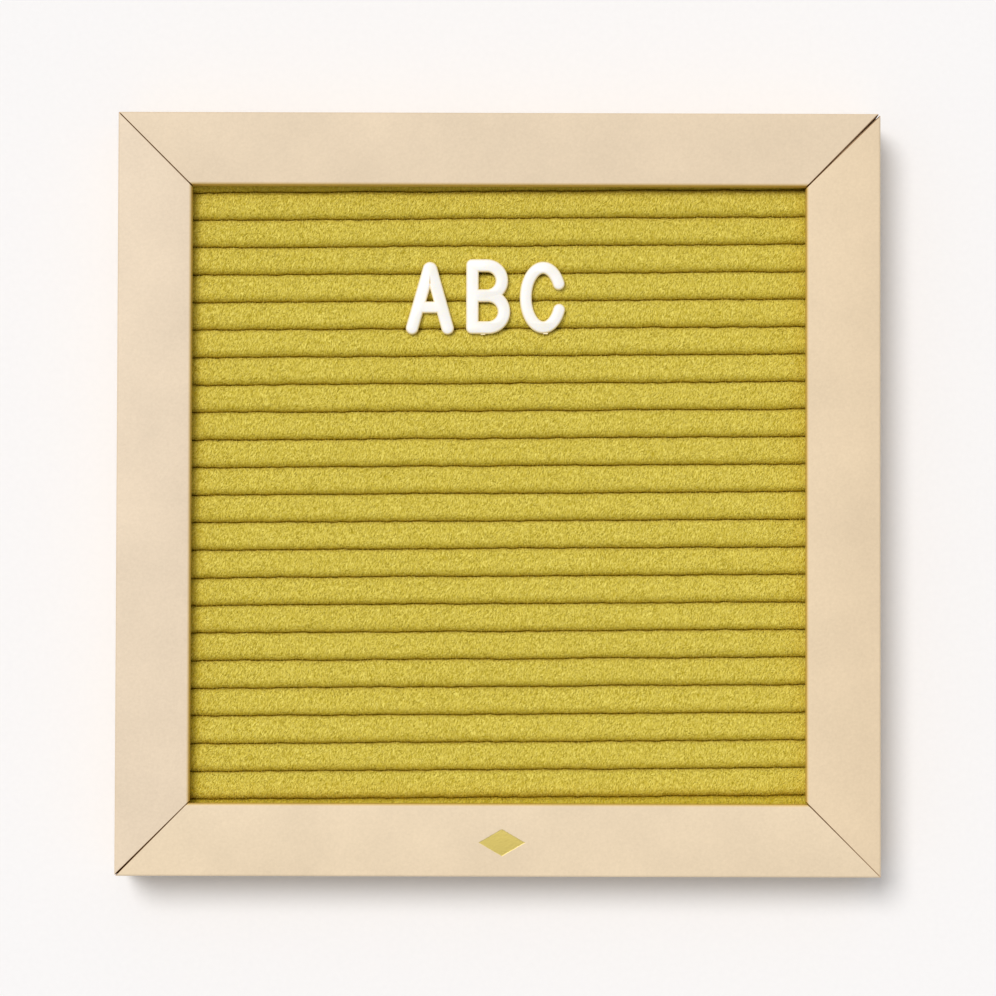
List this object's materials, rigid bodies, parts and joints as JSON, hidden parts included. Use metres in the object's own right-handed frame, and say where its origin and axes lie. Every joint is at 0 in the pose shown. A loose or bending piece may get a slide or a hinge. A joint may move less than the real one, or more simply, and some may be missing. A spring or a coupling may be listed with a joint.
{
  "type": "felt letter board",
  "caption": "Square letter board: a panel of felt folded into rows of grooves, in a mitred leatherette-wrapped frame, with push-in plastic letters and a sawtooth hanger behind.",
  "frame": {"origin": "on the supporting surface, under the middle of the board as it lies on its back", "axes": "+Z out of the board's face, +Y towards the tops of the letters and the hanger, +X to the reader's right"},
  "size_m": [0.2032, 0.2032, 0.022],
  "materials": {
    "leatherette": "fine grained, satin",
    "fibreboard": "raw, sawn",
    "felt": "short brushed wool nap",
    "ribbed_board": "moulded",
    "hardboard": "smooth pressed",
    "letter_plastic": "moulded, semi-gloss",
    "zinc_steel": "zinc plated",
    "brassed_steel": "brass plated",
    "rubber": "satin"
  },
  "bodies": {
    "root": {"backing_board": "hardboard", "bottom_rail_core": "fibreboard", "bottom_rail_point_high": "zinc_steel", "bottom_rail_point_low": "zinc_steel", "bottom_rail_wrap": "leatherette", "bumper_bottom_rail_high": "rubber", "bumper_bottom_rail_low": "rubber", "bumper_top_rail_high": "rubber", "bumper_top_rail_low": "rubber", "felt_sheet": "felt", "hanger_nail_left": "brassed_steel", "hanger_nail_right": "brassed_steel", "left_rail_core": "fibreboard", "left_rail_point_high": "zinc_steel", "left_rail_point_low": "zinc_steel", "left_rail_wrap": "leatherette", "letter_a": "letter_plastic", "letter_b": "letter_plastic", "letter_c": "letter_plastic", "ribbed_base": "ribbed_board", "right_rail_core": "fibreboard", "right_rail_point_high": "zinc_steel", "right_rail_point_low": "zinc_steel", "right_rail_wrap": "leatherette", "sawtooth_hanger": "brassed_steel", "top_rail_core": "fibreboard", "top_rail_point_high": "zinc_steel", "top_rail_point_low": "zinc_steel", "top_rail_wrap": "leatherette", "v_nail_bottom_left_inner": "zinc_steel", "v_nail_bottom_left_outer": "zinc_steel", "v_nail_bottom_right_inner": "zinc_steel", "v_nail_bottom_right_outer": "zinc_steel", "v_nail_top_left_inner": "zinc_steel", "v_nail_top_left_outer": "zinc_steel", "v_nail_top_right_inner": "zinc_steel", "v_nail_top_right_outer": "zinc_steel"}
  },
  "joints": []
}
